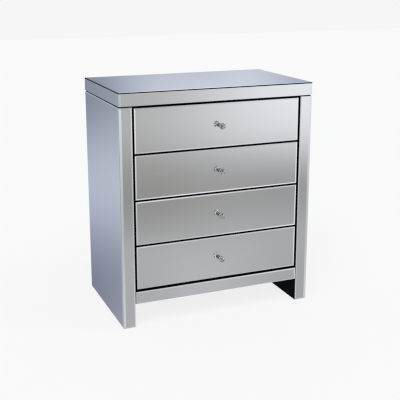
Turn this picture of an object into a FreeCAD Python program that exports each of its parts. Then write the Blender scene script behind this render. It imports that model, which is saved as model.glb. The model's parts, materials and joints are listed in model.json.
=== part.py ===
import FreeCAD, Part
import math
import os
import re

import Sketcher

# Mirrored chest of drawers. Two slab sides stand on the floor and carry a slab top, a bottom rail, and four
# equal drawers on ball runners. Bevelled mirror glass faces the top, the sides, the legs, the rail and the
# drawers, and each drawer has one faceted crystal knob on a metal base.
# Lengths are in millimetres. X runs to the right, Y to the back and Z up. The origin is on the floor, under
# the middle of the box that holds the whole chest, knobs included.

drawer_count = 4
knob_sides = 8
ball_sides = 6
balls_in_row = 3

sizes = {
    # Whole chest
    "overall_width": 800,
    "overall_depth": 480,
    "overall_height": 920,
    # Mirror glass
    "glass_thickness": 4,
    "bevel_width": 4.5,
    "bevel_depth": 0.9,
    "corner_bevel_width": 10,
    "band_bevel_width": 1.2,
    "band_bevel_depth": 0.4,
    "glass_joint": 0.3,
    # Top slab
    "top_thickness": 51,
    "top_joint": 1,
    # Side slabs
    "side_thickness": 50,
    "shadow_joint": 4.8,
    "toe_joint": 2,
    # Bottom rail, bottom panel, back panel and stretchers
    "rail_clearance": 97.5,
    "rail_height": 48.5,
    "rail_board": 18,
    "rail_joint": 3.2,
    "bottom_panel_thickness": 15,
    "bottom_panel_inset": 18,
    "back_panel_thickness": 4,
    "back_rebate_width": 10,
    "stretcher_width": 70,
    "stretcher_thickness": 18,
    "stretcher_setback": 16,
    # Foot glides
    "glide_height": 2,
    "glide_radius": 11,
    "glide_inset": 30,
    # Drawer fronts
    "drawer_recess": 2,
    "drawer_gap": 8,
    "drawer_side_gap": 9.3,
    "drawer_top_gap": 9.3,
    "drawer_bottom_gap": 10.5,
    "front_board": 16,
    "front_board_inset": 1,
    # Drawer boxes
    "box_rise": 16,
    "box_top_clearance": 7,
    "box_back_clearance": 34,
    "wall_thickness": 12,
    "wall_rounding": 2.5,
    "groove_rise": 10,
    "groove_depth": 6,
    "groove_play": 0.3,
    "box_bottom_thickness": 5,
    # Ball runners
    "runner_thickness": 12.7,
    "runner_steel": 1.2,
    "runner_setback": 3,
    "runner_end_gap": 17,
    "channel_height": 35,
    "channel_reach": 11,
    "channel_lip": 3,
    "slider_height": 22.4,
    "slider_back": 3.4,
    "slider_lip": 1.8,
    "stop_half_height": 4,
    "stop_reach": 3,
    "stop_play": 0.6,
    "ball_play": 0.3,
    "cage_length": 96.4,
    "cage_steel": 0.8,
    "cage_back": 1.9,
    "cage_reach": 9.2,
    # Knobs
    "knob_projection": 38,
    "base_height": 14.5,
    "base_radius": 8.5,
    "base_rim": 1.8,
    "base_bore_depth": 10,
    "neck_radius": 4.5,
    "cup_radius": 7.6,
    "cup_rim": 2.5,
    "crystal_back_radius": 6.4,
    "crystal_waist_radius": 10.4,
    "crystal_girdle_radius": 12.5,
    "crystal_crown_radius": 10.7,
    "crystal_table_radius": 7,
    "crystal_girdle_height": 2.4,
    "crystal_crown_height": 6,
    # Fasteners
    "knob_screw_radius": 2,
    "knob_screw_grip": 8,
    "board_hole_radius": 2.5,
    "glass_hole_radius": 3,
    "screw_head_radius": 4,
    "screw_head_height": 2.6,
    # How far a cut runs past the face it opens
    "overrun": 1,
}

# Places that follow from the sizes
places = {
    "half_width": "overall_width / 2",
    "side_inner": "overall_width / 2 - side_thickness",
    "knob_reach": "knob_projection - drawer_recess",
    "front_face": "(knob_reach - overall_depth) / 2",
    "back_face": "front_face + overall_depth",
    "core_front": "front_face + glass_thickness",
    "top_underside": "overall_height - top_thickness",
    "panel_back": "back_face - back_panel_thickness",
    "rail_top": "rail_clearance + rail_height",
    "bottom_panel_base": "rail_clearance + bottom_panel_inset",
    "mirror_base": "glide_height + toe_joint",
    "mirror_top": "top_underside - shadow_joint",
    "fronts_height": "top_underside - drawer_top_gap - rail_top - drawer_bottom_gap",
    "front_height": "(fronts_height + drawer_gap) / drawer_count - drawer_gap",
    "front_width": "2 * (side_inner - drawer_side_gap)",
    "drawer_face": "front_face + drawer_recess",
    "board_front": "drawer_face + glass_thickness",
    "board_back": "board_front + front_board",
    "box_outer": "side_inner - runner_thickness",
    "box_inner": "box_outer - wall_thickness",
    "box_end": "panel_back - box_back_clearance",
    "box_depth": "box_end - board_back",
    "box_height": "front_height + drawer_top_gap - stretcher_thickness - box_top_clearance - box_rise",
    "runner_front": "board_back + runner_setback",
    "runner_length": "box_depth - runner_setback - runner_end_gap",
    "runner_travel": "runner_length - cage_length - 2 * runner_steel - 2 * stop_play",
    "ball_gap": "channel_height / 2 - runner_steel - slider_height / 2",
    "ball_height": "slider_height / 2 + ball_gap / 2",
    "ball_radius": "ball_gap / 2 - ball_play",
    "ball_out": "(channel_reach + slider_back) / 2",
    "cage_front": "runner_front + runner_steel + stop_play + runner_travel / 2",
    "crown_start": "knob_projection - crystal_crown_height",
    "girdle_start": "crown_start - crystal_girdle_height",
}

doc = FreeCAD.newDocument("chest_of_drawers")
sheet = doc.addObject("Spreadsheet::Sheet", "Sizes")
for row, (size_name, size_value) in enumerate({**sizes, "drawer_count": drawer_count}.items(), start=1):
    sheet.set(f"A{row}", size_name)
    sheet.set(f"B{row}", str(size_value))
    sheet.setAlias(f"B{row}", size_name)
doc.recompute()

nodes = []


def formula(text):
    """Writes a sum of named sizes and places as an expression on the sheet."""

    def look_up(found):
        name = found.group()
        if name in places:
            return "(" + formula(places[name]) + ")"
        if name in sizes or name == "drawer_count":
            return "Sizes." + name
        return name

    return re.sub(r"[a-z][a-z_]*", look_up, text)


def measure(text):
    """The present value of a sum of named sizes and places."""
    return float(sheet.evalExpression(formula(text)))


def place(thing, x="0", y="0", z="0", rotation=None):
    """Puts a piece's own origin at a place that follows the sizes."""
    if rotation:
        thing.Placement.Rotation = rotation
    for axis, text in (("x", x), ("y", y), ("z", z)):
        if text != "0":
            thing.setExpression("Placement.Base." + axis, formula(text))
    return thing


def new_body(name):
    return doc.addObject("PartDesign::Body", name)


def new_sketch(body, name, role, offset="0"):
    """A sketch on one of the body's origin planes, moved along the plane's normal by the offset."""
    sketch = body.newObject("Sketcher::SketchObject", body.Name + "_" + name)
    plane = next(feature for feature in body.Origin.OriginFeatures if feature.Role == role)
    sketch.AttachmentSupport = [(plane, "")]
    sketch.MapMode = "FlatFace"
    if offset != "0":
        sketch.setExpression("AttachmentOffset.Base.z", formula(offset))
    return sketch


def hold(sketch, line, point, direction, text):
    """Ties one coordinate of a point to the sizes."""
    if text == "0":
        axis = {"X": -2, "Y": -1}[direction]
        sketch.addConstraint(Sketcher.Constraint("PointOnObject", line, point, axis))
        return
    held = Sketcher.Constraint("Distance" + direction, -1, 1, line, point, measure(text))
    number = sketch.addConstraint(held)
    sketch.setExpression(f"Constraints[{number}]", formula(text))


def draw_outline(sketch, points):
    """Closed outline of straight lines through the points, each tied to the sizes."""
    corners = [FreeCAD.Vector(measure(x), measure(y), 0) for x, y in points]
    following = [*range(1, len(points)), 0]
    for line, after in enumerate(following):
        sketch.addGeometry(Part.LineSegment(corners[line], corners[after]), False)
    for line, after in enumerate(following):
        sketch.addConstraint(Sketcher.Constraint("Coincident", line, 2, after, 1))
    for line, (x, y) in enumerate(points):
        hold(sketch, line, 1, "X", x)
        hold(sketch, line, 1, "Y", y)
    return sketch


def draw_rectangle(sketch, left, low, right, high):
    return draw_outline(sketch, [(left, low), (right, low), (right, high), (left, high)])


def draw_circles(sketch, centres, radius):
    """Circles of one radius at the given centres."""
    up = FreeCAD.Vector(0, 0, 1)
    for line, (x, y) in enumerate(centres):
        centre = FreeCAD.Vector(measure(x), measure(y), 0)
        sketch.addGeometry(Part.Circle(centre, up, measure(radius)), False)
        hold(sketch, line, 3, "X", x)
        hold(sketch, line, 3, "Y", y)
        number = sketch.addConstraint(Sketcher.Constraint("Radius", line, measure(radius)))
        sketch.setExpression(f"Constraints[{number}]", formula(radius))
    return sketch


def pad(body, sketch, length, backwards=False):
    feature = body.newObject("PartDesign::Pad", sketch.Name + "_pad")
    feature.Profile = sketch
    feature.setExpression("Length", formula(length))
    feature.Reversed = backwards
    return feature


def pocket(body, sketch, length, backwards=False):
    """Cuts the sketch's shape out of the body, and makes sure that the cut took something away."""
    doc.recompute()
    before = body.Shape.Volume
    feature = body.newObject("PartDesign::Pocket", sketch.Name + "_pocket")
    feature.Profile = sketch
    feature.setExpression("Length", formula(length))
    feature.Reversed = backwards
    doc.recompute()
    if body.Shape.Volume >= before:
        raise ValueError(f"{feature.Name} cuts nothing")
    return feature


def revolve(body, sketch, axis):
    feature = body.newObject("PartDesign::Revolution", sketch.Name + "_turned")
    feature.Profile = sketch
    feature.ReferenceAxis = (sketch, [axis])
    feature.Angle = 360
    return feature


def mirrored(source, name):
    """The same piece for the other side of the chest."""
    copy = doc.addObject("Part::Mirroring", name)
    copy.Source = source
    copy.Base = FreeCAD.Vector(0, 0, 0)
    copy.Normal = FreeCAD.Vector(1, 0, 0)
    return copy


def grouped(name, members):
    """Several separate solids that share one node."""
    group = doc.addObject("Part::Compound", name)
    group.Links = members
    return group


def as_node(thing):
    thing.Label = thing.Name
    nodes.append(thing)
    return thing


def board(name, width, depth, height):
    """Plain board with its own origin at its left front lower corner."""
    body = new_body(name)
    outline = draw_rectangle(new_sketch(body, "outline", "XY_Plane"), "0", "0", width, depth)
    pad(body, outline, height)
    return body


def mirror_glass(name, width, height, bevels=("bevel_width",) * 4, bevel_depth="bevel_depth"):
    """Sheet of mirror glass that faces the front, with its lower left front corner at its own origin. The
    ground bevels round its face are as wide as given for its left, lower, right and upper edge."""
    body = new_body(name)
    edge = draw_rectangle(new_sketch(body, "edge", "XZ_Plane", f"-{bevel_depth}"), "0", "0", width, height)
    pad(body, edge, f"glass_thickness - {bevel_depth}", backwards=True)
    left, low, right, high = bevels
    face = draw_rectangle(
        new_sketch(body, "face", "XZ_Plane"),
        left,
        low,
        f"{width} - {right}",
        f"{height} - {high}",
    )
    bevel = body.newObject("PartDesign::AdditiveLoft", name + "_bevel")
    bevel.Profile = face
    bevel.Sections = [edge]
    return body


facing_left = FreeCAD.Rotation(FreeCAD.Vector(0, 0, 1), -90)
facing_up = FreeCAD.Rotation(FreeCAD.Vector(1, 0, 0), -90)


# Carcass

def side_panels():
    """Slab sides, with a rebate for the back panel."""
    left = board("left_side_panel", "side_thickness - glass_thickness", "overall_depth - glass_thickness",
                 "top_underside - glide_height")
    place(left, "glass_thickness - half_width", "core_front", "glide_height")
    rebate = draw_rectangle(
        new_sketch(left, "rebate", "XY_Plane", "bottom_panel_base - glide_height"),
        "side_thickness - glass_thickness - back_rebate_width",
        "overall_depth - glass_thickness - back_panel_thickness",
        "side_thickness - glass_thickness + overrun",
        "overall_depth - glass_thickness + overrun",
    )
    pocket(left, rebate, "top_underside - bottom_panel_base + overrun", backwards=True)
    as_node(left)
    as_node(mirrored(left, "right_side_panel"))


def foot_glides():
    """Round plastic glides glued under both ends of each side."""
    glides = []
    for end, inset in (("front", "core_front + glide_inset"), ("back", "back_face - glide_inset")):
        glide = new_body(f"left_{end}_glide")
        profile = draw_outline(new_sketch(glide, "profile", "XZ_Plane"), [
            ("0", "0"),
            ("glide_radius", "0"),
            ("glide_radius", "glide_height"),
            ("0", "glide_height"),
        ])
        revolve(glide, profile, "V_Axis")
        place(glide, "glass_thickness - half_width + (side_thickness - glass_thickness) / 2", inset, "0")
        glides += [glide, mirrored(glide, f"right_{end}_glide")]
    as_node(grouped("foot_glides", glides))


def top_panel():
    core = board("top_panel", "overall_width - 2 * glass_thickness", "overall_depth - glass_thickness",
                 "top_thickness - glass_thickness")
    as_node(place(core, "glass_thickness - half_width", "core_front", "top_underside"))


def top_stretchers():
    """Front and back boards between the sides, under the slab top."""
    boards = []
    for end, front in (("front", "board_back + stretcher_setback"), ("back", "panel_back - stretcher_width")):
        stretcher = board(f"{end}_stretcher", "2 * side_inner", "stretcher_width", "stretcher_thickness")
        boards.append(place(stretcher, "-side_inner", front, "top_underside - stretcher_thickness"))
    as_node(grouped("top_stretchers", boards))


def rail_and_panels():
    """Bottom rail, the panel behind it, and the thin back panel in the sides' rebates."""
    rail = board("bottom_rail", "2 * side_inner", "rail_board", "rail_height")
    as_node(place(rail, "-side_inner", "core_front", "rail_clearance"))
    bottom = board("bottom_panel", "2 * side_inner", "panel_back - core_front - rail_board",
                   "bottom_panel_thickness")
    as_node(place(bottom, "-side_inner", "core_front + rail_board", "bottom_panel_base"))
    back = board("back_panel", "2 * (side_inner + back_rebate_width)", "back_panel_thickness",
                 "top_underside - bottom_panel_base")
    as_node(place(back, "-side_inner - back_rebate_width", "panel_back", "bottom_panel_base"))


# Mirror glass on the carcass

def carcass_mirrors():
    """The top mirror lies over the others' upper edges, and the front ones cover the side ones' front edges."""
    top = mirror_glass("top_mirror", "overall_width", "overall_depth", bevel_depth="band_bevel_depth")
    as_node(place(top, "-half_width", "front_face", "overall_height", facing_up))

    side_length = "overall_depth - glass_thickness - glass_joint"
    band_height = "top_thickness - glass_thickness - top_joint"
    band = mirror_glass("top_front_mirror", "overall_width", band_height,
                        ("corner_bevel_width", "band_bevel_width") * 2, "band_bevel_depth")
    as_node(place(band, "-half_width", "front_face", "top_underside"))
    side_band = mirror_glass("top_left_mirror", side_length, band_height, ("band_bevel_width",) * 4,
                             "band_bevel_depth")
    as_node(place(side_band, "-half_width", "back_face", "top_underside", facing_left))
    as_node(mirrored(side_band, "top_right_mirror"))

    side = mirror_glass("left_side_mirror", side_length, "mirror_top - mirror_base")
    as_node(place(side, "-half_width", "back_face", "mirror_base", facing_left))
    as_node(mirrored(side, "right_side_mirror"))
    leg = mirror_glass("left_leg_mirror", "side_thickness", "mirror_top - mirror_base",
                       ("corner_bevel_width", "bevel_width", "bevel_width", "bevel_width"))
    as_node(place(leg, "-half_width", "front_face", "mirror_base"))
    as_node(mirrored(leg, "right_leg_mirror"))

    rail = mirror_glass("bottom_rail_mirror", "2 * (side_inner - rail_joint)", "rail_height")
    as_node(place(rail, "rail_joint - side_inner", "front_face", "rail_clearance"))


# Ball runners, drawn for the left side, with X from the cabinet's side towards the drawer

def front_base(number):
    """Height of a drawer front's lower edge. Drawer 1 is the top one."""
    below = drawer_count - number
    return f"(rail_top + drawer_bottom_gap + {below} * (front_height + drawer_gap))"


def runner_height(number):
    return f"({front_base(number)} + box_rise + box_height / 2)"


def stop_lug(body, name, start, near, far):
    """Lug bent out of a runner's web, one sheet thick."""
    outline = draw_rectangle(new_sketch(body, name, "XZ_Plane", f"-({start})"), near, "-stop_half_height", far,
                             "stop_half_height")
    pad(body, outline, "runner_steel", backwards=True)


def cabinet_channel(number):
    """Channel on the cabinet's side: a web, two flanges whose lips hold the balls in, and a stop at each end."""
    channel = new_body(f"left_channel_{number}")
    half = "channel_height / 2"
    upper = [
        ("channel_reach", half),
        ("channel_reach", f"{half} - channel_lip"),
        ("channel_reach - runner_steel", f"{half} - channel_lip"),
        ("channel_reach - runner_steel", f"{half} - runner_steel"),
        ("runner_steel", f"{half} - runner_steel"),
    ]
    lower = [(x, f"-({z})") for x, z in reversed(upper)]
    profile = draw_outline(new_sketch(channel, "profile", "XZ_Plane"),
                           [("0", half), *upper, *lower, ("0", f"-({half})")])
    pad(channel, profile, "runner_length + stop_play + runner_steel", backwards=True)
    stop_lug(channel, "front_stop", "0", "runner_steel / 2", "stop_reach")
    stop_lug(channel, "back_stop", "runner_length + stop_play", "runner_steel / 2", "stop_reach")
    return place(channel, "-side_inner", "runner_front", runner_height(number))


def drawer_slider(number):
    """Slider on the drawer's wall, which runs inside the channel, with a stop at its back end."""
    slider = new_body(f"left_slider_{number}")
    half = "slider_height / 2"
    upper = [
        ("slider_back + runner_steel", half),
        ("slider_back + runner_steel", f"{half} + slider_lip"),
        ("slider_back", f"{half} + slider_lip"),
        ("slider_back", f"{half} - runner_steel"),
        ("runner_thickness - runner_steel", f"{half} - runner_steel"),
    ]
    lower = [(x, f"-({z})") for x, z in reversed(upper)]
    profile = draw_outline(new_sketch(slider, "profile", "XZ_Plane"),
                           [("runner_thickness", half), *upper, *lower, ("runner_thickness", f"-({half})")])
    pad(slider, profile, "runner_length", backwards=True)
    stop_lug(slider, "back_stop", "runner_length - runner_steel", "(runner_steel + cage_back) / 2",
             "runner_thickness - runner_steel / 2")
    return place(slider, "-side_inner", "runner_front", runner_height(number))


def ringed_solid(rings, sides):
    """Closed solid with flat facets, from rings of points round the Y axis. A ring is its place along Y, its
    radius, and how far it is turned, as a share of one side. Rings that are turned apart meet in triangles."""
    loops = []
    for along, radius, turn_share in rings:
        angles = [2 * math.pi * (side + turn_share) / sides for side in range(sides)]
        loops.append([FreeCAD.Vector(radius * math.sin(a), along, radius * math.cos(a)) for a in angles])
    facets = [loops[0], loops[-1]]
    for (loop, ring), (next_loop, next_ring) in zip(zip(loops, rings), zip(loops[1:], rings[1:])):
        turned = next_ring[2] - ring[2]
        for side in range(sides):
            after = (side + 1) % sides
            if turned == 0:
                facets.append([loop[side], loop[after], next_loop[after], next_loop[side]])
                continue
            if turned > 0:
                facets.append([loop[side], loop[after], next_loop[side]])
                facets.append([next_loop[side], loop[after], next_loop[after]])
            else:
                facets.append([loop[side], next_loop[after], next_loop[side]])
                facets.append([loop[side], loop[after], next_loop[after]])
    faces = [Part.Face(Part.makePolygon([*points, points[0]])) for points in facets]
    solid = Part.Solid(Part.makeShell(faces))
    if solid.Volume < 0:
        solid.reverse()
    return solid


# A ball's rings, as shares of its radius along its axis and outwards
ball_ring_shares = tuple(
    (math.cos(math.radians(angle)), math.sin(math.radians(angle))) for angle in (36, 90, 144)
)


def ball_cage(number):
    """Strip that carries two rows of balls between channel and slider, with the balls in it."""
    strip = new_body(f"left_cage_strip_{number}")
    outer = "ball_height + cage_steel / 2"
    inner = "ball_height - cage_steel / 2"
    upper = [
        ("cage_reach", outer),
        ("cage_reach", inner),
        ("cage_back + cage_steel", inner),
    ]
    lower = [(x, f"-({z})") for x, z in reversed(upper)]
    profile = draw_outline(new_sketch(strip, "profile", "XZ_Plane"),
                           [("cage_back", outer), *upper, *lower, ("cage_back", f"-({outer})")])
    pad(strip, profile, "cage_length", backwards=True)

    radius = measure("ball_radius")
    pitch = measure("cage_length") / balls_in_row
    ball = ringed_solid([(share * radius, out * radius, 0) for share, out in ball_ring_shares], ball_sides)
    balls = []
    for row_height in (measure("ball_height"), -measure("ball_height")):
        for step in range(balls_in_row):
            seat = FreeCAD.Vector(measure("ball_out"), (step + 1 / 2) * pitch, row_height)
            balls.append(ball.translated(seat))
    ball_rows = doc.addObject("Part::Feature", f"left_balls_{number}")
    ball_rows.Shape = Part.makeCompound(balls)
    cage = doc.addObject("Part::Fuse", f"left_cage_{number}")
    cage.Base = strip
    cage.Tool = ball_rows
    return place(cage, "-side_inner", "cage_front", runner_height(number))


def cabinet_runners():
    left = grouped("left_cabinet_runners", [cabinet_channel(number) for number in drawer_numbers])
    as_node(left)
    as_node(mirrored(left, "right_cabinet_runners"))


# Drawers

def drawer_front(number):
    """Board behind the drawer's mirror, grooved for the drawer's bottom and drilled for the knob's screw."""
    width = "front_width - 2 * front_board_inset"
    front = board(f"drawer_{number}_front", width, "front_board", "front_height - 2 * front_board_inset")
    middle = f"({width}) / 2"
    groove_base = "box_rise + groove_rise - front_board_inset"
    groove = draw_rectangle(
        new_sketch(front, "groove", "XZ_Plane", "-(front_board - groove_depth)"),
        f"{middle} - box_inner - groove_depth",
        groove_base,
        f"{middle} + box_inner + groove_depth",
        f"{groove_base} + box_bottom_thickness + groove_play",
    )
    pocket(front, groove, "groove_depth + overrun")
    hole = draw_circles(new_sketch(front, "knob_hole", "XZ_Plane", "overrun"),
                        [(middle, "front_height / 2 - front_board_inset")], "board_hole_radius")
    pocket(front, hole, "front_board + 2 * overrun")
    place(front, f"-{middle}", "board_front", f"{front_base(number)} + front_board_inset")
    as_node(front)


def drawer_mirror(number):
    glass = mirror_glass(f"drawer_{number}_mirror", "front_width", "front_height")
    hole = draw_circles(new_sketch(glass, "knob_hole", "XZ_Plane", "overrun"),
                        [("front_width / 2", "front_height / 2")], "glass_hole_radius")
    pocket(glass, hole, "glass_thickness + 2 * overrun")
    place(glass, "-front_width / 2", "drawer_face", front_base(number))
    as_node(glass)


def long_top_edges(shape):
    """Names of the upper edges that run from front to back."""
    box = shape.BoundBox
    names = []
    for index, edge in enumerate(shape.Edges, start=1):
        middle = edge.CenterOfMass
        along = edge.BoundBox.YLength
        if math.isclose(middle.z, box.ZMax) and math.isclose(along, box.YLength):
            names.append(f"Edge{index}")
    return names


def side_walls(number):
    """The drawer's two side walls, grooved inside for the bottom and rounded along the top."""
    left = board(f"left_wall_{number}", "wall_thickness", "box_depth", "box_height")
    doc.recompute()
    plain = left.Tip
    rounding = left.newObject("PartDesign::Fillet", f"left_wall_{number}_rounding")
    rounding.Base = (plain, long_top_edges(plain.Shape))
    rounding.setExpression("Radius", formula("wall_rounding"))
    groove = draw_rectangle(
        new_sketch(left, "groove", "XZ_Plane", "overrun"),
        "wall_thickness - groove_depth",
        "groove_rise",
        "wall_thickness + overrun",
        "groove_rise + box_bottom_thickness + groove_play",
    )
    pocket(left, groove, "box_depth + 2 * overrun")
    place(left, "-box_outer", "board_back", f"{front_base(number)} + box_rise")
    as_node(grouped(f"drawer_{number}_side_walls", [left, mirrored(left, f"right_wall_{number}")]))


def back_wall(number):
    """Wall between the side walls at the drawer's back, grooved for the bottom."""
    wall = board(f"drawer_{number}_back_wall", "2 * box_inner", "wall_thickness", "box_height - wall_rounding")
    groove = draw_rectangle(
        new_sketch(wall, "groove", "YZ_Plane", "-overrun"),
        "-overrun",
        "groove_rise",
        "groove_depth",
        "groove_rise + box_bottom_thickness + groove_play",
    )
    pocket(wall, groove, "2 * box_inner + 2 * overrun", backwards=True)
    place(wall, "-box_inner", "box_end - wall_thickness", f"{front_base(number)} + box_rise")
    as_node(wall)


def drawer_bottom(number):
    """Thin panel that sits in the grooves of the front and the three walls."""
    reach = "groove_depth - groove_play"
    bottom = board(f"drawer_{number}_bottom", f"2 * (box_inner + {reach})",
                   f"box_depth - wall_thickness + 2 * ({reach})", "box_bottom_thickness")
    place(bottom, f"-(box_inner + {reach})", f"board_back - ({reach})",
          f"{front_base(number)} + box_rise + groove_rise")
    as_node(bottom)


def knob_centre(number):
    return f"{front_base(number)} + front_height / 2"


def knob_base(number):
    """Turned metal base: a rosette on the glass, a narrow neck, and a cup that the crystal is glued to. Its
    back is bored for the screw."""
    base = new_body(f"drawer_{number}_knob_base")
    profile = draw_outline(new_sketch(base, "profile", "XY_Plane"), [
        ("knob_screw_radius", "0"),
        ("base_radius", "0"),
        ("base_radius", "-base_rim"),
        ("neck_radius", "-base_rim"),
        ("neck_radius", "cup_rim - base_height"),
        ("cup_radius", "cup_rim - base_height"),
        ("cup_radius", "-base_height"),
        ("0", "-base_height"),
        ("0", "-base_bore_depth"),
        ("knob_screw_radius", "-base_bore_depth"),
    ])
    revolve(base, profile, "V_Axis")
    as_node(place(base, "0", "drawer_face", knob_centre(number)))


def knob_crystal(number):
    """Clear stone cut in flat facets: it widens from the cup to an upright girdle, and its crown rises to a
    flat table."""
    waist = (measure("base_height") + measure("girdle_start")) / 2
    crown = (measure("crown_start") + measure("knob_projection")) / 2
    stone = doc.addObject("Part::Feature", f"drawer_{number}_knob")
    stone.Shape = ringed_solid([
        (-measure("base_height"), measure("crystal_back_radius"), 0),
        (-waist, measure("crystal_waist_radius"), 1 / 2),
        (-measure("girdle_start"), measure("crystal_girdle_radius"), 0),
        (-measure("crown_start"), measure("crystal_girdle_radius"), 0),
        (-crown, measure("crystal_crown_radius"), 1 / 2),
        (-measure("knob_projection"), measure("crystal_table_radius"), 0),
    ], knob_sides)
    as_node(place(stone, "0", "drawer_face", knob_centre(number)))


def knob_screw(number):
    """Machine screw from inside the drawer, through the board and the glass into the knob's base."""
    screw = new_body(f"drawer_{number}_knob_screw")
    tip = "-(front_board + glass_thickness + knob_screw_grip)"
    profile = draw_outline(new_sketch(screw, "profile", "XY_Plane"), [
        ("0", "screw_head_height"),
        ("0", tip),
        ("knob_screw_radius", tip),
        ("knob_screw_radius", "0"),
        ("screw_head_radius", "0"),
        ("screw_head_radius", "screw_head_height"),
    ])
    revolve(screw, profile, "V_Axis")
    as_node(place(screw, "0", "board_back", knob_centre(number)))


def drawer_runners(number):
    slider = drawer_slider(number)
    as_node(grouped(f"drawer_{number}_sliders", [slider, mirrored(slider, f"right_slider_{number}")]))
    cage = ball_cage(number)
    as_node(grouped(f"drawer_{number}_ball_cages", [cage, mirrored(cage, f"right_cage_{number}")]))


drawer_numbers = range(1, drawer_count + 1)

side_panels()
foot_glides()
top_panel()
top_stretchers()
rail_and_panels()
carcass_mirrors()
cabinet_runners()
for drawer_number in drawer_numbers:
    drawer_front(drawer_number)
    drawer_mirror(drawer_number)
    side_walls(drawer_number)
    back_wall(drawer_number)
    drawer_bottom(drawer_number)
    drawer_runners(drawer_number)
    knob_base(drawer_number)
    knob_crystal(drawer_number)
    knob_screw(drawer_number)

doc.recompute()
for thing in doc.Objects:
    if {"Invalid", "Error"} & set(thing.State):
        raise ValueError(f"{thing.Name} failed: {thing.State}")
for node in nodes:
    if node.Shape.isNull() or not node.Shape.isValid():
        raise ValueError(f"{node.Label} has no valid shape")

os.makedirs("parts", exist_ok=True)
for node in nodes:
    node.Shape.exportStep(f"parts/{node.Label}.step")
print(f"{len(nodes)} nodes written")
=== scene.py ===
import json
import math

import bmesh
import bpy
from mathutils import Matrix, Vector


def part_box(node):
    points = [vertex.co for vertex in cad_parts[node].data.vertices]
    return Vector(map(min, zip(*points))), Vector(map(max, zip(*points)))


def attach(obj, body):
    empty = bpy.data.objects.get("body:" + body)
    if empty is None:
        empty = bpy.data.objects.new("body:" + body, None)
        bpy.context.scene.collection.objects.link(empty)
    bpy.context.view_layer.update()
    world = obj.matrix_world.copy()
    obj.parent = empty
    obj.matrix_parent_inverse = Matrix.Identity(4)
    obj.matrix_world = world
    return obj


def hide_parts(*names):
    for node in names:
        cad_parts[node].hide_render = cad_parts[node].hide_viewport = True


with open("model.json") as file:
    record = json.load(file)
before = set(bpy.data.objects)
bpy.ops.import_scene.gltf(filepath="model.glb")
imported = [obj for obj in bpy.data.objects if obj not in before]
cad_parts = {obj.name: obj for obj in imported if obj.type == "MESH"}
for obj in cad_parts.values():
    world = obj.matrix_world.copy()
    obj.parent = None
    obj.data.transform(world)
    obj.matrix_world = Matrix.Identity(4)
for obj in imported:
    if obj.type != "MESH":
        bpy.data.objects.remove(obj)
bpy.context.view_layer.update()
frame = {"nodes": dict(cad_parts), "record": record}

scene = bpy.context.scene
drawerNumbers = range(1, 5)


# Shader helpers

def addNode(tree, kind, inputs=None, **settings):
    node = tree.nodes.new(kind)
    for name, value in settings.items():
        setattr(node, name, value)
    for name, value in (inputs or {}).items():
        if isinstance(value, bpy.types.NodeSocket):
            tree.links.new(value, node.inputs[name])
        else:
            node.inputs[name].default_value = value
    return node


def calculate(tree, operation, first, second=0.0, third=0.0):
    return addNode(tree, "ShaderNodeMath", {0: first, 1: second, 2: third}, operation=operation).outputs[0]


def spread(tree, value, span, newSpan=(0.0, 1.0)):
    # Stretches one span of a value over another; outside it the value stays at the end
    return addNode(tree, "ShaderNodeMapRange", {
        "Value": value, "From Min": span[0], "From Max": span[1], "To Min": newSpan[0], "To Max": newSpan[1],
    }).outputs["Result"]


def blendColours(tree, share, first, second):
    return addNode(tree, "ShaderNodeMix", {0: share, 6: first, 7: second}, data_type="RGBA").outputs[2]


def addNoise(tree, place, scale, detail, roughness=0.5):
    return addNode(tree, "ShaderNodeTexNoise", {
        "Vector": place, "Scale": scale, "Detail": detail, "Roughness": roughness,
    }).outputs["Fac"]


def newGroup(name, inputs, outputs):
    group = bpy.data.node_groups.new(name, "ShaderNodeTree")
    for label, kind, value in inputs:
        socket = group.interface.new_socket(label, in_out="INPUT", socket_type=kind)
        socket.default_value = value
    for label in outputs:
        group.interface.new_socket(label, in_out="OUTPUT", socket_type="NodeSocketFloat")
    return group, group.nodes.new("NodeGroupInput").outputs, group.nodes.new("NodeGroupOutput").inputs


# Effects that several finishes share

edgeEffect = {"facing": (0.55, 0.45)}  # a ground bevel faces out more than this, a sawn edge less


def makeSheetEdge():
    # One on the sawn edge of a sheet, and zero on its face and its ground bevels
    group, given, result = newGroup("sheetEdge", [("Facing", "NodeSocketVector", (0, 1, 0))], ["Edge"])
    normal = addNode(group, "ShaderNodeNewGeometry").outputs["True Normal"]
    along = addNode(group, "ShaderNodeVectorMath", {0: normal, 1: given["Facing"]}, operation="DOT_PRODUCT")
    facing = calculate(group, "ABSOLUTE", along.outputs["Value"])
    group.links.new(spread(group, facing, edgeEffect["facing"]), result["Edge"])
    return group


markEffect = {
    "patchDetail": 3.0,
    "streakDetail": 5.0,
    "streakFineness": 3.0,
    "streakStretch": (1.0, 1.0, 7.0),
    "range": (0.18, 0.42),
}


def makeWipeMarks():
    # Marks left by hands and cloths: broad faint patches with finer streaks in them
    group, given, result = newGroup("wipeMarks", [("Size", "NodeSocketFloat", 0.12)], ["Marks"])
    place = addNode(group, "ShaderNodeTexCoord").outputs["Object"]
    scale = calculate(group, "DIVIDE", 1.0, given["Size"])
    patches = addNoise(group, place, scale, markEffect["patchDetail"])
    swept = addNode(group, "ShaderNodeMapping", {"Vector": place, "Scale": markEffect["streakStretch"]})
    fineScale = calculate(group, "MULTIPLY", scale, markEffect["streakFineness"])
    streaks = addNoise(group, swept.outputs[0], fineScale, markEffect["streakDetail"])
    both = calculate(group, "MULTIPLY", patches, streaks)
    group.links.new(spread(group, both, markEffect["range"]), result["Marks"])
    return group


grainEffect = {
    "detail": 4.0,
    "roughness": 0.6,
    "driftScale": 0.05,
    "driftDetail": 3.0,
    "driftRange": (0.3, 0.7),
}


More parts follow.
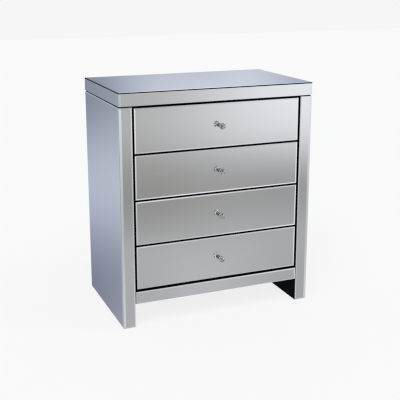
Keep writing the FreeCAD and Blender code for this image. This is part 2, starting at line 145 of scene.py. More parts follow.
def makeFineGrain():
    # Grain of paint, foil, plating or moulded plastic, as a height and as a slower drift of tone
    group, given, result = newGroup("fineGrain", [
        ("Size", "NodeSocketFloat", 0.001),
        ("Stretch", "NodeSocketVector", (1, 1, 1)),
    ], ["Height", "Tone"])
    place = addNode(group, "ShaderNodeTexCoord").outputs["Object"]
    drawn = addNode(group, "ShaderNodeVectorMath", {0: place, 1: given["Stretch"]}, operation="DIVIDE")
    scale = calculate(group, "DIVIDE", 1.0, given["Size"])
    grain = addNoise(group, drawn.outputs[0], scale, grainEffect["detail"], grainEffect["roughness"])
    slowScale = calculate(group, "MULTIPLY", scale, grainEffect["driftScale"])
    drift = addNoise(group, drawn.outputs[0], slowScale, grainEffect["driftDetail"])
    group.links.new(grain, result["Height"])
    group.links.new(spread(group, drift, grainEffect["driftRange"]), result["Tone"])
    return group


dustEffect = {
    "speckScale": 160.0,
    "speckDetail": 6.0,
    "speckRange": (0.42, 0.62),
    "facingUp": (0.4, 1.0),
}


def makeSettledDust():
    # Dust on what faces up
    group, given, result = newGroup("settledDust", [("Amount", "NodeSocketFloat", 0.3)], ["Dust"])
    normal = addNode(group, "ShaderNodeNewGeometry").outputs["Normal"]
    up = addNode(group, "ShaderNodeSeparateXYZ", {0: normal}).outputs["Z"]
    place = addNode(group, "ShaderNodeTexCoord").outputs["Object"]
    specks = addNoise(group, place, dustEffect["speckScale"], dustEffect["speckDetail"])
    facing = spread(group, up, dustEffect["facingUp"])
    broken = spread(group, specks, dustEffect["speckRange"])
    dust = calculate(group, "MULTIPLY", calculate(group, "MULTIPLY", facing, broken), given["Amount"])
    group.links.new(dust, result["Dust"])
    return group


effects = {
    "sheetEdge": makeSheetEdge(),
    "wipeMarks": makeWipeMarks(),
    "fineGrain": makeFineGrain(),
    "settledDust": makeSettledDust(),
}


def effectOutputs(tree, name, **values):
    node = tree.nodes.new("ShaderNodeGroup")
    node.node_tree = effects[name]
    for label, value in values.items():
        node.inputs[label].default_value = value
    return node.outputs


# Finishes

def newMaterial(name, **constants):
    material = bpy.data.materials.new(name)
    material.use_nodes = True
    tree = material.node_tree
    shader = tree.nodes["Principled BSDF"]
    for label, value in constants.items():
        shader.inputs[label.replace("_", " ")].default_value = value
    return material, tree, shader


def addRelief(tree, shader, height, look):
    bump = addNode(tree, "ShaderNodeBump", {
        "Height": height, "Distance": look["grainDepth"], "Strength": look["relief"],
    })
    tree.links.new(bump.outputs["Normal"], shader.inputs["Normal"])


mirrorLook = {
    "silver": (0.86, 0.88, 0.875, 1),
    "sawnEdge": (0.004, 0.010, 0.009, 1),
    "markSize": 0.16,
    "roughness": (0.006, 0.035),  # clean, wiped
    "edgeRoughness": 0.40,
    "edgeGloss": 0.08,
}


def makeMirrorGlass(name, facing):
    material, tree, shader = newMaterial(name, Specular_IOR_Level=mirrorLook["edgeGloss"])
    edge = effectOutputs(tree, "sheetEdge", Facing=facing)["Edge"]
    marks = effectOutputs(tree, "wipeMarks", Size=mirrorLook["markSize"])["Marks"]
    colour = blendColours(tree, edge, mirrorLook["silver"], mirrorLook["sawnEdge"])
    tree.links.new(colour, shader.inputs["Base Color"])
    tree.links.new(calculate(tree, "SUBTRACT", 1.0, edge), shader.inputs["Metallic"])
    tarnish = spread(tree, marks, (0, 1), mirrorLook["roughness"])
    rough = addNode(tree, "ShaderNodeMix", {0: edge, 2: tarnish, 3: mirrorLook["edgeRoughness"]})
    tree.links.new(rough.outputs[0], shader.inputs["Roughness"])
    return material


paintLook = {
    "paint": (0.0030, 0.0030, 0.0032, 1),
    "dusty": (0.018, 0.018, 0.018, 1),
    "dust": 0.5,
    "gloss": 0.01,
    "roughness": (0.42, 0.60),
    "grainSize": 0.0012,
    "grainDepth": 0.00012,
    "relief": 0.5,
}
hardboardLook = {
    "paint": (0.0150, 0.0150, 0.0155, 1),
    "dusty": (0.036, 0.036, 0.036, 1),
    "dust": 0.5,
    "gloss": 0.30,
    "roughness": (0.50, 0.72),
    "grainSize": 0.0030,
    "grainDepth": 0.00030,
    "relief": 0.5,
}


def makeBoardPaint(name, look):
    material, tree, shader = newMaterial(name, Specular_IOR_Level=look["gloss"])
    grain = effectOutputs(tree, "fineGrain", Size=look["grainSize"])
    dust = effectOutputs(tree, "settledDust", Amount=look["dust"])["Dust"]
    tree.links.new(blendColours(tree, dust, look["paint"], look["dusty"]), shader.inputs["Base Color"])
    tree.links.new(spread(tree, grain["Tone"], (0, 1), look["roughness"]), shader.inputs["Roughness"])
    addRelief(tree, shader, grain["Height"], look)
    return material


foilLook = {
    "dark": (0.012, 0.012, 0.013, 1),
    "light": (0.028, 0.027, 0.027, 1),
    "dusty": (0.05, 0.05, 0.05, 1),
    "dust": 0.35,
    "veins": (0.4, 0.7),
    "roughness": (0.36, 0.50),
    "grainSize": 0.0016,
    "grainStretch": (1.0, 14.0, 1.0),
    "grainDepth": 0.00008,
    "relief": 0.4,
}


def makeDrawerFoil(name, look):
    material, tree, shader = newMaterial(name)
    grain = effectOutputs(tree, "fineGrain", Size=look["grainSize"], Stretch=look["grainStretch"])
    dust = effectOutputs(tree, "settledDust", Amount=look["dust"])["Dust"]
    vein = spread(tree, grain["Height"], look["veins"])
    wood = blendColours(tree, vein, look["dark"], look["light"])
    tree.links.new(blendColours(tree, dust, wood, look["dusty"]), shader.inputs["Base Color"])
    tree.links.new(spread(tree, grain["Tone"], (0, 1), look["roughness"]), shader.inputs["Roughness"])
    addRelief(tree, shader, grain["Height"], look)
    return material


zincLook = {
    "pale": (0.62, 0.64, 0.66, 1),
    "warm": (0.50, 0.50, 0.47, 1),
    "cloudSize": 0.05,
    "grainSize": 0.0007,
    "grainStretch": (1.0, 30.0, 1.0),
    "grainRange": (0.3, 0.7),
    "grainDepth": 0.00003,
    "relief": 0.4,
}


def makeZincSteel(name, look, roughness):
    material, tree, shader = newMaterial(name, Metallic=1.0)
    grain = effectOutputs(tree, "fineGrain", Size=look["grainSize"], Stretch=look["grainStretch"])
    clouds = effectOutputs(tree, "wipeMarks", Size=look["cloudSize"])["Marks"]
    tree.links.new(blendColours(tree, clouds, look["pale"], look["warm"]), shader.inputs["Base Color"])
    tree.links.new(spread(tree, grain["Height"], look["grainRange"], roughness), shader.inputs["Roughness"])
    addRelief(tree, shader, grain["Height"], look)
    return material


# The chrome's colours are much darker than real chrome: painted shade that stands in for dark surroundings in
# its reflections
chromePaintedShadeLook = {
    "clean": (0.32, 0.32, 0.325, 1),
    "marked": (0.26, 0.26, 0.27, 1),
    "markSize": 0.008,
    "roughness": (0.04, 0.14),
}
# The stone's grey tint is darker than clear crystal: painted shade that stands in for darker surroundings seen
# through it
crystalPaintedShadeLook = {
    "clean": (0.88, 0.88, 0.882, 1),
    "marked": (0.83, 0.83, 0.832, 1),
    "markSize": 0.006,
    "roughness": (0.0, 0.008),
}
ballLook = {
    "clean": (0.72, 0.72, 0.73, 1),
    "marked": (0.55, 0.54, 0.50, 1),
    "markSize": 0.003,
    "roughness": (0.06, 0.2),
}


def makePolished(name, look, **constants):
    material, tree, shader = newMaterial(name, **constants)
    marks = effectOutputs(tree, "wipeMarks", Size=look["markSize"])["Marks"]
    tree.links.new(blendColours(tree, marks, look["clean"], look["marked"]), shader.inputs["Base Color"])
    tree.links.new(spread(tree, marks, (0, 1), look["roughness"]), shader.inputs["Roughness"])
    return material


glideLook = {
    "dark": (0.035, 0.035, 0.036, 1),
    "light": (0.055, 0.055, 0.055, 1),
    "roughness": (0.45, 0.6),
    "grainSize": 0.0006,
    "grainDepth": 0.00005,
    "relief": 0.4,
}


def makeGlidePlastic(name, look):
    material, tree, shader = newMaterial(name)
    grain = effectOutputs(tree, "fineGrain", Size=look["grainSize"])
    tree.links.new(blendColours(tree, grain["Tone"], look["dark"], look["light"]), shader.inputs["Base Color"])
    tree.links.new(spread(tree, grain["Tone"], (0, 1), look["roughness"]), shader.inputs["Roughness"])
    addRelief(tree, shader, grain["Height"], look)
    return material


finishes = {
    "mirrorFront": makeMirrorGlass("mirrorGlassFront", (0, 1, 0)),
    "mirrorSide": makeMirrorGlass("mirrorGlassSide", (1, 0, 0)),
    "mirrorTop": makeMirrorGlass("mirrorGlassTop", (0, 0, 1)),
    "painted_board": makeBoardPaint("blackBoardPaint", paintLook),
    "hardboard": makeBoardPaint("paintedHardboard", hardboardLook),
    "drawer_board": makeDrawerFoil("drawerFoil", foilLook),
    "runner_steel": makeZincSteel("runnerZinc", zincLook, (0.24, 0.40)),
    "cage_steel": makeZincSteel("cageZinc", zincLook, (0.30, 0.46)),
    "knob_metal": makePolished("knobChromePaintedShade", chromePaintedShadeLook, Metallic=1.0),
    "crystal": makePolished("cutCrystalPaintedShade", crystalPaintedShadeLook, Transmission_Weight=1.0, IOR=1.56),
    "glide_plastic": makeGlidePlastic("glidePlastic", glideLook),
    "balls": makePolished("ballSteel", ballLook, Metallic=1.0),
}
sideMirrors = ("top_left_mirror", "top_right_mirror", "left_side_mirror", "right_side_mirror")
for part in frame["record"]["subparts"]:
    node, finish = part["node"], part["material_slot"]
    if node == "top_mirror":
        finish = "mirrorTop"
    elif node in sideMirrors:
        finish = "mirrorSide"
    elif finish == "mirror_glass":
        finish = "mirrorFront"
    elif node == "back_panel":
        finish = "hardboard"
    mesh = frame["nodes"][node].data
    mesh.materials.clear()
    mesh.materials.append(finishes[finish])
print("finishes are on the solids")


# Mesh helpers

def finishPiece(bm, name, body, finish, replaced=(), smoothBelow=35):
    # smoothBelow is the angle in degrees up to which neighbouring faces shade as one; at 0 all are flat
    bmesh.ops.recalc_face_normals(bm, faces=bm.faces)
    mesh = bpy.data.meshes.new(name)
    bm.to_mesh(mesh)
    bm.free()
    for polygon in mesh.polygons:
        polygon.use_smooth = smoothBelow > 0
    if smoothBelow:
        mesh.set_sharp_from_angle(angle=math.radians(smoothBelow))
    mesh.materials.append(finishes[finish])
    piece = bpy.data.objects.new(name, mesh)
    scene.collection.objects.link(piece)
    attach(piece, body)
    if replaced:
        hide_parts(*replaced)


def axisFrame(axis):
    axis = Vector(axis).normalized()
    across = axis.orthogonal().normalized()
    return axis, across, axis.cross(across)


def circle(steps):
    angles = [2 * math.pi * step / steps for step in range(steps)]
    return [(math.cos(angle), math.sin(angle)) for angle in angles]


def joinRings(bm, rings, steps):
    # A ring may be a single point
    for ring, after in zip(rings, rings[1:]):
        for step in range(steps):
            corners = [ring[step % len(ring)], ring[(step + 1) % len(ring)],
                       after[(step + 1) % len(after)], after[step % len(after)]]
            bm.faces.new(list(dict.fromkeys(corners)))


def turnProfile(bm, profile, centre, axis, steps):
    # A closed turned form round an axis: the profile lists (distance along the axis, radius)
    axis, across, beside = axisFrame(axis)
    rings = []
    for along, radius in profile:
        middle = Vector(centre) + axis * along
        if radius == 0:
            rings.append([bm.verts.new(middle)])
        else:
            rings.append([bm.verts.new(middle + (across * u + beside * v) * radius) for u, v in circle(steps)])
    joinRings(bm, rings, steps)


def roundCorners(points, radius, steps=5):
    # Rounds every inner corner of an open path of (across, height) points
    path = [Vector(points[0])]
    for before, corner, after in zip(points, points[1:], points[2:]):
        corner = Vector(corner)
        start = corner + (Vector(before) - corner).normalized() * radius
        end = corner + (Vector(after) - corner).normalized() * radius
        for step in range(steps + 1):
            share = step / steps
            path.append(start.lerp(corner, share).lerp(corner.lerp(end, share), share))
    path.append(Vector(points[-1]))
    return path


def thicken(path, thickness):
    # Closed outline of a sheet whose middle follows the path
    left, right = [], []
    for index, point in enumerate(path):
        along = (path[min(index + 1, len(path) - 1)] - path[max(index - 1, 0)]).normalized()
        offset = Vector((-along.y, along.x)) * thickness / 2
        left.append(point + offset)
        right.append(point - offset)
    return left + right[::-1]


def addBentSheet(bm, path, bend, thickness, toWorld, length):
    # A straight length of bent sheet with closed ends; toWorld turns (across, along, height) into a place
    outline = thicken(roundCorners(path, bend), thickness)
    loops = [[bm.verts.new(toWorld(point.x, along, point.y)) for point in outline] for along in (0, length)]
    for index in range(len(outline)):
        after = (index + 1) % len(outline)
        bm.faces.new([loops[0][index], loops[0][after], loops[1][after], loops[1][index]])
    for loop in loops:  # each end as quads across the sheet's thickness
        for index in range(len(outline) // 2 - 1):
            bm.faces.new([loop[index], loop[index + 1], loop[-index - 2], loop[-index - 1]])


screwHead = {
    "rings": [(1.0, 0.0), (1.0, 0.35), (0.93, 0.75), (0.78, 1.0)],  # shares of the radius and of the height
    "slotLength": 0.52,
    "slotWidth": 0.14,
    "slotTaper": 0.72,
    "slotFloor": 0.35,
}


def addScrewHead(bm, centre, axis, radius, height, steps=20):
    # Low head with a cross recess; its seat is at the centre and its face points along the axis
    axis, across, beside = axisFrame(axis)

    def at(u, v, along):
        return bm.verts.new(Vector(centre) + across * u + beside * v + axis * along)

    def loopEdges(ring):
        return [bm.edges.get((ring[index], ring[(index + 1) % len(ring)])) for index in range(len(ring))]

    rings = [[at(radius * share * u, radius * share * v, height * rise) for u, v in circle(steps)]
             for share, rise in screwHead["rings"]]
    joinRings(bm, rings, steps)
    long, short = radius * screwHead["slotLength"], radius * screwHead["slotWidth"]
    corners = [(long, -short), (long, short), (short, short), (short, long), (-short, long), (-short, short),
               (-long, short), (-long, -short), (-short, -short), (-short, -long), (short, -long),
               (short, -short)]
    taper, depth = screwHead["slotTaper"], height * screwHead["slotFloor"]
    mouth = [at(u, v, height) for u, v in corners]
    floor = [at(u * taper, v * taper, depth) for u, v in corners]
    joinRings(bm, [mouth, floor], len(corners))
    bm.faces.new(floor)
    bmesh.ops.triangle_fill(bm, use_beauty=True, edges=loopEdges(rings[-1]) + loopEdges(mouth))


# Knobs: cut crystal on a turned chrome base, with a screw from inside the drawer

knob = {
    "projection": 0.038,
    "stoneRings": [  # distance from the glass, radius, corners, turn in parts of one corner
        (0.0146, 0.0066, 8, 0.0),
        (0.0246, 0.0119, 8, 0.5),
        (0.0274, 0.01250, 16, 0.0),
        (0.0294, 0.01250, 16, 0.0),
        (0.0342, 0.0110, 8, 0.5),
        (0.0380, 0.0072, 8, 0.0),
    ],
    "flatAngle": 1.5,  # facets that differ less, in degrees, are one
    "edgeWear": 0.00012,
    "baseProfile": [
        (0.0, 0.0), (0.0, 0.0082), (0.0003, 0.0085), (0.0011, 0.0085), (0.0016, 0.0081), (0.0018, 0.0072),
        (0.0022, 0.0062), (0.0030, 0.0053), (0.0042, 0.0047), (0.0056, 0.0045), (0.0064, 0.0052),
        (0.0070, 0.0055), (0.0076, 0.0052), (0.0084, 0.0045), (0.0098, 0.0047), (0.0110, 0.0055),
        (0.0117, 0.0068), (0.0121, 0.0074), (0.0126, 0.0076), (0.0138, 0.0076), (0.0144, 0.0073),
        (0.0145, 0.0068), (0.01445, 0.0064), (0.01445, 0.0),
    ],
    "baseSteps": 40,
    "shankRadius": 0.002,
    "shankSteps": 16,
    "headRadius": 0.004,
    "headSteps": 28,
}


def makeStone(number, centre):
    bm = bmesh.new()
    for along, radius, corners, turn in knob["stoneRings"]:
        for corner in range(corners):
            angle = 2 * math.pi * (corner + turn) / corners
            bm.verts.new(centre + Vector((radius * math.sin(angle), -along, radius * math.cos(angle))))
    hull = bmesh.ops.convex_hull(bm, input=bm.verts)
    loose = [item for item in hull["geom_interior"] if isinstance(item, bmesh.types.BMVert)]
    bmesh.ops.delete(bm, geom=loose, context="VERTS")
    bmesh.ops.dissolve_limit(bm, angle_limit=math.radians(knob["flatAngle"]), verts=bm.verts, edges=bm.edges)
    bmesh.ops.bevel(bm, geom=list(bm.edges), offset=knob["edgeWear"], segments=1, affect="EDGES")
    finishPiece(bm, f"crystalStone{number}", f"drawer_{number}", "crystal",
                [f"drawer_{number}_knob"], 0)


def makeKnobBase(number, centre):
    bm = bmesh.new()
    turnProfile(bm, knob["baseProfile"], centre, (0, -1, 0), knob["baseSteps"])
    finishPiece(bm, f"knobBase{number}", f"drawer_{number}", "knob_metal",
                [f"drawer_{number}_knob_base"])


def makeKnobScrew(number, centre):
    bm = bmesh.new()
    low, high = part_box(f"drawer_{number}_knob_screw")
    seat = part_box(f"drawer_{number}_front")[1].y
    length, radius = seat - low.y, knob["shankRadius"]
    shank = [(0, 0), (0, radius), (length, radius), (length, 0)]
    turnProfile(bm, shank, (centre.x, low.y, centre.z), (0, 1, 0), knob["shankSteps"])
    addScrewHead(bm, (centre.x, seat, centre.z), (0, 1, 0), knob["headRadius"], high.y - seat,
                 knob["headSteps"])
    finishPiece(bm, f"knobScrew{number}", f"drawer_{number}", "knob_metal",
                [f"drawer_{number}_knob_screw"])


for number in drawerNumbers:
    low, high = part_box(f"drawer_{number}_knob")
    onGlass = Vector(((low.x + high.x) / 2, low.y + knob["projection"], (low.z + high.z) / 2))
    makeStone(number, onGlass)
    makeKnobBase(number, onGlass)
    makeKnobScrew(number, onGlass)
print("knobs are made")


# Ball runners

runner = {
    "steel": 0.0012,
    "channelPath": [(0.0104, 0.0145), (0.0104, 0.0169), (0.0006, 0.0169),
                    (0.0006, -0.0169), (0.0104, -0.0169), (0.0104, -0.0145)],
    "channelBend": 0.0016,
    "channelLug": (0.0008, 0.0030),  # across, from and to
    "channelScrews": (0.035, 0.128, 0.370),  # back from the front end
    "channelScrewSeat": 0.0012,
    "sliderPath": [(0.0040, 0.0130), (0.0040, 0.0106), (0.0121, 0.0106),
                   (0.0121, -0.0106), (0.0040, -0.0106), (0.0040, -0.0130)],
    "sliderBend": 0.00112,
    "sliderLug": (0.00155, 0.0119),
    "sliderScrews": (0.030, 0.190, 0.360),
    "sliderScrewSeat": 0.0115,
    "cageSteel": 0.0008,
    "cagePath": [(0.0092, 0.01375), (0.0023, 0.01375), (0.0023, -0.01375), (0.0092, -0.01375)],
    "cageBend": 0.0012,
    "ballRadius": 0.00225,
    "ballPlace": (0.0072, 0.01375),  # across, height
    "ballsInRow": 7,
    "ballSegments": (16, 10),
    "lugHalfHeight": 0.004,
    "lugRounding": 0.0003,
    "screwRadius": 0.0034,
    "screwHeight": 0.0005,
}


def runnerPlace(side, node, middleNode):
    # Runner coordinates: in from the cabinet's side, back from the node's front end and up from the middle
    wall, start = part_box("left_cabinet_runners")[0].x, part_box(node)[0].y
    low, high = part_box(middleNode)
    middle = (low.z + high.z) / 2

    def toWorld(across, along, height):
        return Vector((side * (wall + across), start + along, middle + height))

    return toWorld


def lengthOf(node):
    low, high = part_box(node)
    return high.y - low.y


def addLug(bm, toWorld, span, along):
    # A bent-up stop with rounded edges
    half = runner["lugHalfHeight"]
    low, high = Vector((span[0], along, -half)), Vector((span[1], along + runner["steel"], half))
    made = bmesh.ops.create_cube(bm, size=1.0)["verts"]
    middle, size = (low + high) / 2, high - low
    for vert in made:
        vert.co = toWorld(*(m + v * s for m, v, s in zip(middle, vert.co, size)))
    edges = list(dict.fromkeys(edge for vert in made for edge in vert.link_edges))
    bmesh.ops.bevel(bm, geom=edges, offset=runner["lugRounding"], segments=2, affect="EDGES",
                    clamp_overlap=True)


def addRunnerScrews(bm, toWorld, seat, places, facing):
    for along in places:
        addScrewHead(bm, toWorld(seat, along, 0), (facing, 0, 0), runner["screwRadius"], runner["screwHeight"])


def makeCabinetRunners(side, hand):
    node = f"{hand}_cabinet_runners"
    length = lengthOf(node)
    channels, screws = bmesh.new(), bmesh.new()
    for number in drawerNumbers:
        toWorld = runnerPlace(side, node, f"drawer_{number}_sliders")
        addBentSheet(channels, runner["channelPath"], runner["channelBend"], runner["steel"], toWorld, length)
        for along in (0, length - runner["steel"]):
            addLug(channels, toWorld, runner["channelLug"], along)
        addRunnerScrews(screws, toWorld, runner["channelScrewSeat"], runner["channelScrews"], side)
    finishPiece(channels, f"{hand}CabinetChannels", "carcass", "runner_steel", [node], 40)
    finishPiece(screws, f"{hand}ChannelScrews", "carcass", "cage_steel")


def makeSliders(number):
    node, body = f"drawer_{number}_sliders", f"drawer_{number}"
    length = lengthOf(node)
    sliders, screws = bmesh.new(), bmesh.new()
    for side in (1, -1):
        toWorld = runnerPlace(side, node, node)
        addBentSheet(sliders, runner["sliderPath"], runner["sliderBend"], runner["steel"], toWorld, length)
        addLug(sliders, toWorld, runner["sliderLug"], length - runner["steel"])
        addRunnerScrews(screws, toWorld, runner["sliderScrewSeat"], runner["sliderScrews"], -side)
    finishPiece(sliders, f"drawerSliders{number}", body, "runner_steel", [node], 40)
    finishPiece(screws, f"sliderScrews{number}", body, "cage_steel")


def makeBallCages(number):
    node, body = f"drawer_{number}_ball_cages", f"drawer_{number}_cages"
    length = lengthOf(node)
    pitch = length / runner["ballsInRow"]
    across, height = runner["ballPlace"]
    around, upwards = runner["ballSegments"]
    strips, balls = bmesh.new(), bmesh.new()
    for side in (1, -1):
        toWorld = runnerPlace(side, node, node)
        addBentSheet(strips, runner["cagePath"], runner["cageBend"], runner["cageSteel"], toWorld, length)
        for step in range(runner["ballsInRow"]):
            for row in (height, -height):
                centre = toWorld(across, (step + 0.5) * pitch, row)
                bmesh.ops.create_uvsphere(balls, u_segments=around, v_segments=upwards,
                                          radius=runner["ballRadius"], matrix=Matrix.Translation(centre))
    finishPiece(strips, f"cageStrips{number}", body, "cage_steel", [node], 40)
    finishPiece(balls, f"runnerBalls{number}", body, "balls", smoothBelow=180)


makeCabinetRunners(1, "left")
makeCabinetRunners(-1, "right")
for number in drawerNumbers:
    makeSliders(number)
    makeBallCages(number)
print("runners are made")


# Glides, and the small fasteners of the carcass

glide = {
    "profile": [(0.0, 0.0), (0.0, 0.0024), (0.0006, 0.0026), (0.0006, 0.0036), (0.0, 0.0040), (0.0, 0.0101),
                (0.0002, 0.0107), (0.0008, 0.0110), (0.0020, 0.0110), (0.0020, 0.0)],
    "inset": 0.011,
    "steps": 32,
}


def makeGlides():
    bm = bmesh.new()
    low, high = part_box("foot_glides")
    for x in (low.x + glide["inset"], high.x - glide["inset"]):
        for y in (low.y + glide["inset"], high.y - glide["inset"]):
            turnProfile(bm, glide["profile"], (x, y, 0), (0, 0, 1), glide["steps"])
    finishPiece(bm, "footGlides", "carcass", "glide_plastic", ["foot_glides"], 30)


backNails = {
    "edgeInset": 0.006,
    "across": 7,
    "upwards": 8,
    "radius": 0.0024,
    "height": 0.0007,
    "dome": [(0, 0), (0, 1), (0.4, 0.96), (0.8, 0.7), (1, 0)],  # shares of the height and of the radius
    "steps": 14,
}


def makeBackNails():
    bm = bmesh.new()
    low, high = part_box("back_panel")
    inset = backNails["edgeInset"]
    left, right, bottom, top = low.x + inset, high.x - inset, low.z + inset, high.z - inset
    places = []
    for step in range(backNails["across"]):
        x = left + (right - left) * step / (backNails["across"] - 1)
        places += [(x, bottom), (x, top)]
    for step in range(1, backNails["upwards"] - 1):
        z = bottom + (top - bottom) * step / (backNails["upwards"] - 1)
        places += [(left, z), (right, z)]
    dome = [(backNails["height"] * along, backNails["radius"] * share) for along, share in backNails["dome"]]
    for x, z in places:
        turnProfile(bm, dome, (x, high.y, z), (0, 1, 0), backNails["steps"])
    finishPiece(bm, "backPanelNails", "carcass", "cage_steel")


stretcherScrews = {"fromMiddle": 0.26, "edgeInset": 0.035, "radius": 0.0042, "height": 0.0016}


def makeStretcherScrews():
    bm = bmesh.new()
    low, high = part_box("top_stretchers")
    for x in (-stretcherScrews["fromMiddle"], stretcherScrews["fromMiddle"]):
        for y in (low.y + stretcherScrews["edgeInset"], high.y - stretcherScrews["edgeInset"]):
            addScrewHead(bm, (x, y, low.z), (0, 0, -1), stretcherScrews["radius"], stretcherScrews["height"])
    finishPiece(bm, "stretcherScrews", "carcass", "cage_steel")


makeGlides()
makeBackNails()
makeStretcherScrews()
print("glides and fasteners are made")


# Floor, light and camera

studio = {
    "backdrop": (0.922, 0.922, 0.922, 1),
    "darkest": 0.03,
    "roomStops": [  # elevation, light
        (-90, (0.27, 0.27, 0.27)), (-58, (0.30, 0.30, 0.30)), (-46, (0.60, 0.61, 0.62)),
        (-25, (0.66, 0.67, 0.68)), (0, (0.76, 0.77, 0.78)), (18, (0.80, 0.81, 0.83)),
        (32, (0.50, 0.50, 0.51)), (50, (0.33, 0.33, 0.34)), (90, (0.30, 0.30, 0.31)),
    ],
    # Soft patches of light, or of shade where less than zero: azimuth from the front towards the right,
    # elevation, half width, half height, and the light as one grey or as a colour
    "cards": [
        (24.6, -16.5, 7.3, 2.3, (-0.144, -0.144, -0.167)),
        (30.2, -22.3, 5.2, 4.7, (-0.446, -0.447, -0.486)),
        (21.1, -18.0, 12.1, 15.6, (0.366, 0.360, 0.434)),
        (17.2, -15.1, 6.2, 10.8, (-0.602, -0.612, -0.689)),
        (29.9, -14.2, 5.4, 2.0, (-0.301, -0.313, -0.336)),
        (158.0, 15.6, 6.2, 6.0, (0.839, 0.796, 0.781)),
        (168.3, 15.3, 5.0, 6.0, (-0.682, -0.658, -0.777)),
        (157.0, 10.4, 60.0, 7.4, (-0.391, -0.367, -0.259)),
        (-173.7, -15.0, 9.2, 3.9, (0.653, 0.685, 0.718)),
        (-173.7, -15.5, 9.0, 9.0, (-0.864, -0.867, -0.777)),
        (-150.0, 1.0, 60.0, 15.9, (-0.118, -0.109, -0.083)),
        (-5.0, -10.0, 6.0, 3.0, 0.226),
        (-3.0, -17.0, 7.0, 5.0, -0.121),
        (7.0, -18.0, 4.0, 4.0, -0.149),
        (40.0, -17.0, 5.0, 4.0, -0.229),
        (52.0, -14.0, 7.0, 10.0, 0.290),
        (18.0, 12.0, 7.0, 3.0, -0.394),
        (30.0, 12.0, 7.0, 3.0, 0.198),
        (28.0, 7.0, 8.0, 2.5, -0.249),
        (20.0, 2.5, 9.0, 2.0, -0.244),
        (17.0, -33.0, 6.0, 3.0, -0.307),
        (22.0, -41.0, 12.0, 4.0, -0.270),
        (24.0, -5.5, 12.0, 2.5, -0.07),
        (17.5, -26.0, 3.0, 3.0, -0.10),
        (157.6, 7.0, 3.0, 3.0, (-0.06, -0.05, -0.06)),
        (-164.7, -21.5, 10.0, 4.0, (-0.05, -0.05, -0.03)),
        (-70.0, 5.0, 15.0, 60.0, -0.74),
        (-23.0, 11.0, 6.5, 26.0, -0.80),
        (74.0, 5.0, 10.0, 60.0, -0.74),
        (29.0, -36.5, 12.0, 2.0, 0.34),
        (19.0, 5.2, 6.0, 1.5, 0.26),
        (17.0, 2.1, 4.0, 1.2, 0.18),
        (18.3, -19.5, 3.0, 1.6, (0.044, 0.052, 0.060)),
        (18.5, -10.9, 3.0, 1.4, (0.044, 0.040, 0.040)),
        (161.2, 7.3, 1.5, 4.0, (0.036, 0.042, 0.030)),
        (154.0, 7.0, 1.4, 4.0, (0.050, 0.050, 0.030)),
        (150.6, 7.0, 1.2, 4.0, (-0.06, -0.06, -0.05)),
        (-164.5, -8.4, 6.0, 1.6, (-0.03, -0.03, -0.035)),
        (30.0, -7.7, 2.5, 1.2, (0.045, 0.045, 0.030)),
        (-5.0, -23.5, 4.0, 1.6, -0.14),
        (-38.0, 42.0, 6.5, 6.5, 10.0),
        (66.0, 44.0, 6.5, 6.5, 10.0),
    ],
}


def addCard(tree, card, azimuth, elevation, total):
    cardTurn, cardHeight, halfWidth, halfHeight, light = card
    if not isinstance(light, tuple):
        light = (light, light, light)

    def squared(value, halfSize):
        share = calculate(tree, "ABSOLUTE", calculate(tree, "DIVIDE", value, halfSize))
        return calculate(tree, "POWER", share, 2.0)

    away = calculate(tree, "WRAP", calculate(tree, "SUBTRACT", azimuth, cardTurn), 180.0, -180.0)
    above = calculate(tree, "SUBTRACT", elevation, cardHeight)
    distance = calculate(tree, "ADD", squared(away, halfWidth), squared(above, halfHeight))
    share = calculate(tree, "EXPONENT", calculate(tree, "MULTIPLY", distance, -0.5))
    return addNode(tree, "ShaderNodeVectorMath", {0: share, 1: light, 2: total},
                   operation="MULTIPLY_ADD").outputs[0]


def makeRoom():
    world = bpy.data.worlds.new("studioRoom")
    scene.world = world
    world.use_nodes = True
    tree = world.node_tree
    tree.nodes.clear()
    heading = addNode(tree, "ShaderNodeTexCoord").outputs["Generated"]
    parts = addNode(tree, "ShaderNodeSeparateXYZ", {0: heading}).outputs
    degree = 180 / math.pi
    turn = calculate(tree, "ARCTAN2", parts["X"], calculate(tree, "MULTIPLY", parts["Y"], -1.0))
    azimuth = calculate(tree, "MULTIPLY", turn, degree)
    elevation = calculate(tree, "MULTIPLY", calculate(tree, "ARCSINE", parts["Z"]), degree)
    ramp = addNode(tree, "ShaderNodeValToRGB", {"Fac": spread(tree, elevation, (-90, 90))})
    stops = ramp.color_ramp.elements
    stops.remove(stops[1])
    for index, (height, light) in enumerate(studio["roomStops"]):
        place = (height + 90) / 180
        stop = stops.new(place) if index else stops[0]
        stop.position = place
        stop.color = (*light, 1)
    total = ramp.outputs["Color"]
    for card in studio["cards"]:
        total = addCard(tree, card, azimuth, elevation, total)
    total = addNode(tree, "ShaderNodeVectorMath", {0: total, 1: (studio["darkest"],) * 3}, operation="MAXIMUM")
    room = addNode(tree, "ShaderNodeBackground", {"Color": total.outputs[0]})
    seen = addNode(tree, "ShaderNodeBackground", {"Color": studio["backdrop"]})
    direct = addNode(tree, "ShaderNodeLightPath").outputs["Is Camera Ray"]
    mixed = addNode(tree, "ShaderNodeMixShader", {0: direct, 1: room.outputs[0], 2: seen.outputs[0]})
    addNode(tree, "ShaderNodeOutputWorld", {"Surface": mixed.outputs[0]})


def placeUnseen(item):
    # Lights the chest, but doesn't show in its mirrors or through its crystals
    scene.collection.objects.link(item)
    item.visible_glossy = False
    item.visible_transmission = False


floorLook = {
    "halfSize": 14.0,
    "squares": 8,
    "colour": (0.10, 0.10, 0.10, 1),
    "roughness": 0.9,
    "glow": 0.845,
}


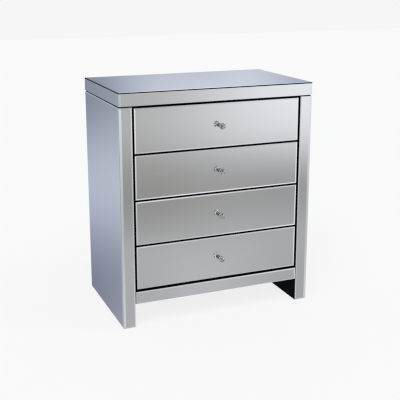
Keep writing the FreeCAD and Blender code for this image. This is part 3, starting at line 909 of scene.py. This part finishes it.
def makeFloor():
    bm = bmesh.new()
    squares = floorLook["squares"]
    bmesh.ops.create_grid(bm, x_segments=squares, y_segments=squares, size=floorLook["halfSize"])
    mesh = bpy.data.meshes.new("studioFloor")
    bm.to_mesh(mesh)
    bm.free()
    material, tree, shader = newMaterial(
        "paleFloor", Base_Color=floorLook["colour"], Roughness=floorLook["roughness"], Specular_IOR_Level=0.0,
        Emission_Color=(1, 1, 1, 1), Emission_Strength=floorLook["glow"])
    mesh.materials.append(material)
    floor = bpy.data.objects.new("studioFloor", mesh)
    placeUnseen(floor)


overheadLight = {"strength": 1.9, "turn": (34, 0, -28), "softness": 55, "height": 4}


def makeOverheadLight():
    lamp = bpy.data.lights.new("softOverheadLight", "SUN")
    lamp.energy = overheadLight["strength"]
    lamp.angle = math.radians(overheadLight["softness"])
    light = bpy.data.objects.new("softOverheadLight", lamp)
    light.rotation_euler = [math.radians(angle) for angle in overheadLight["turn"]]
    light.location = (0, 0, overheadLight["height"])
    placeUnseen(light)


photoCamera = {
    "place": (-1.207, -2.952, 1.335),
    "turn": (90 - 13.58, 0, -22.40),  # looks down 13.58 degrees, from the left of the front
    "sensor": 36,
    "lens": 71.45,
    "shift": -0.085,
    "farEnd": 200,
}


def makeCamera():
    data = bpy.data.cameras.new("photoCamera")
    data.sensor_width = photoCamera["sensor"]
    data.lens = photoCamera["lens"]
    data.shift_y = photoCamera["shift"]
    data.clip_end = photoCamera["farEnd"]
    camera = bpy.data.objects.new("photoCamera", data)
    camera.location = photoCamera["place"]
    camera.rotation_euler = [math.radians(angle) for angle in photoCamera["turn"]]
    scene.collection.objects.link(camera)
    scene.camera = camera


makeRoom()
makeFloor()
makeOverheadLight()
makeCamera()
lightBounces = 24  # light passes through the cut stones many times
scene.view_settings.view_transform = "Standard"
scene.cycles.caustics_reflective = False
scene.cycles.caustics_refractive = False
scene.cycles.max_bounces = lightBounces
scene.cycles.glossy_bounces = lightBounces
scene.cycles.transmission_bounces = lightBounces
scene.cycles.filter_width = 1.3  # keeps the thin joints and the cut stones crisp
print("floor, light and camera are set")
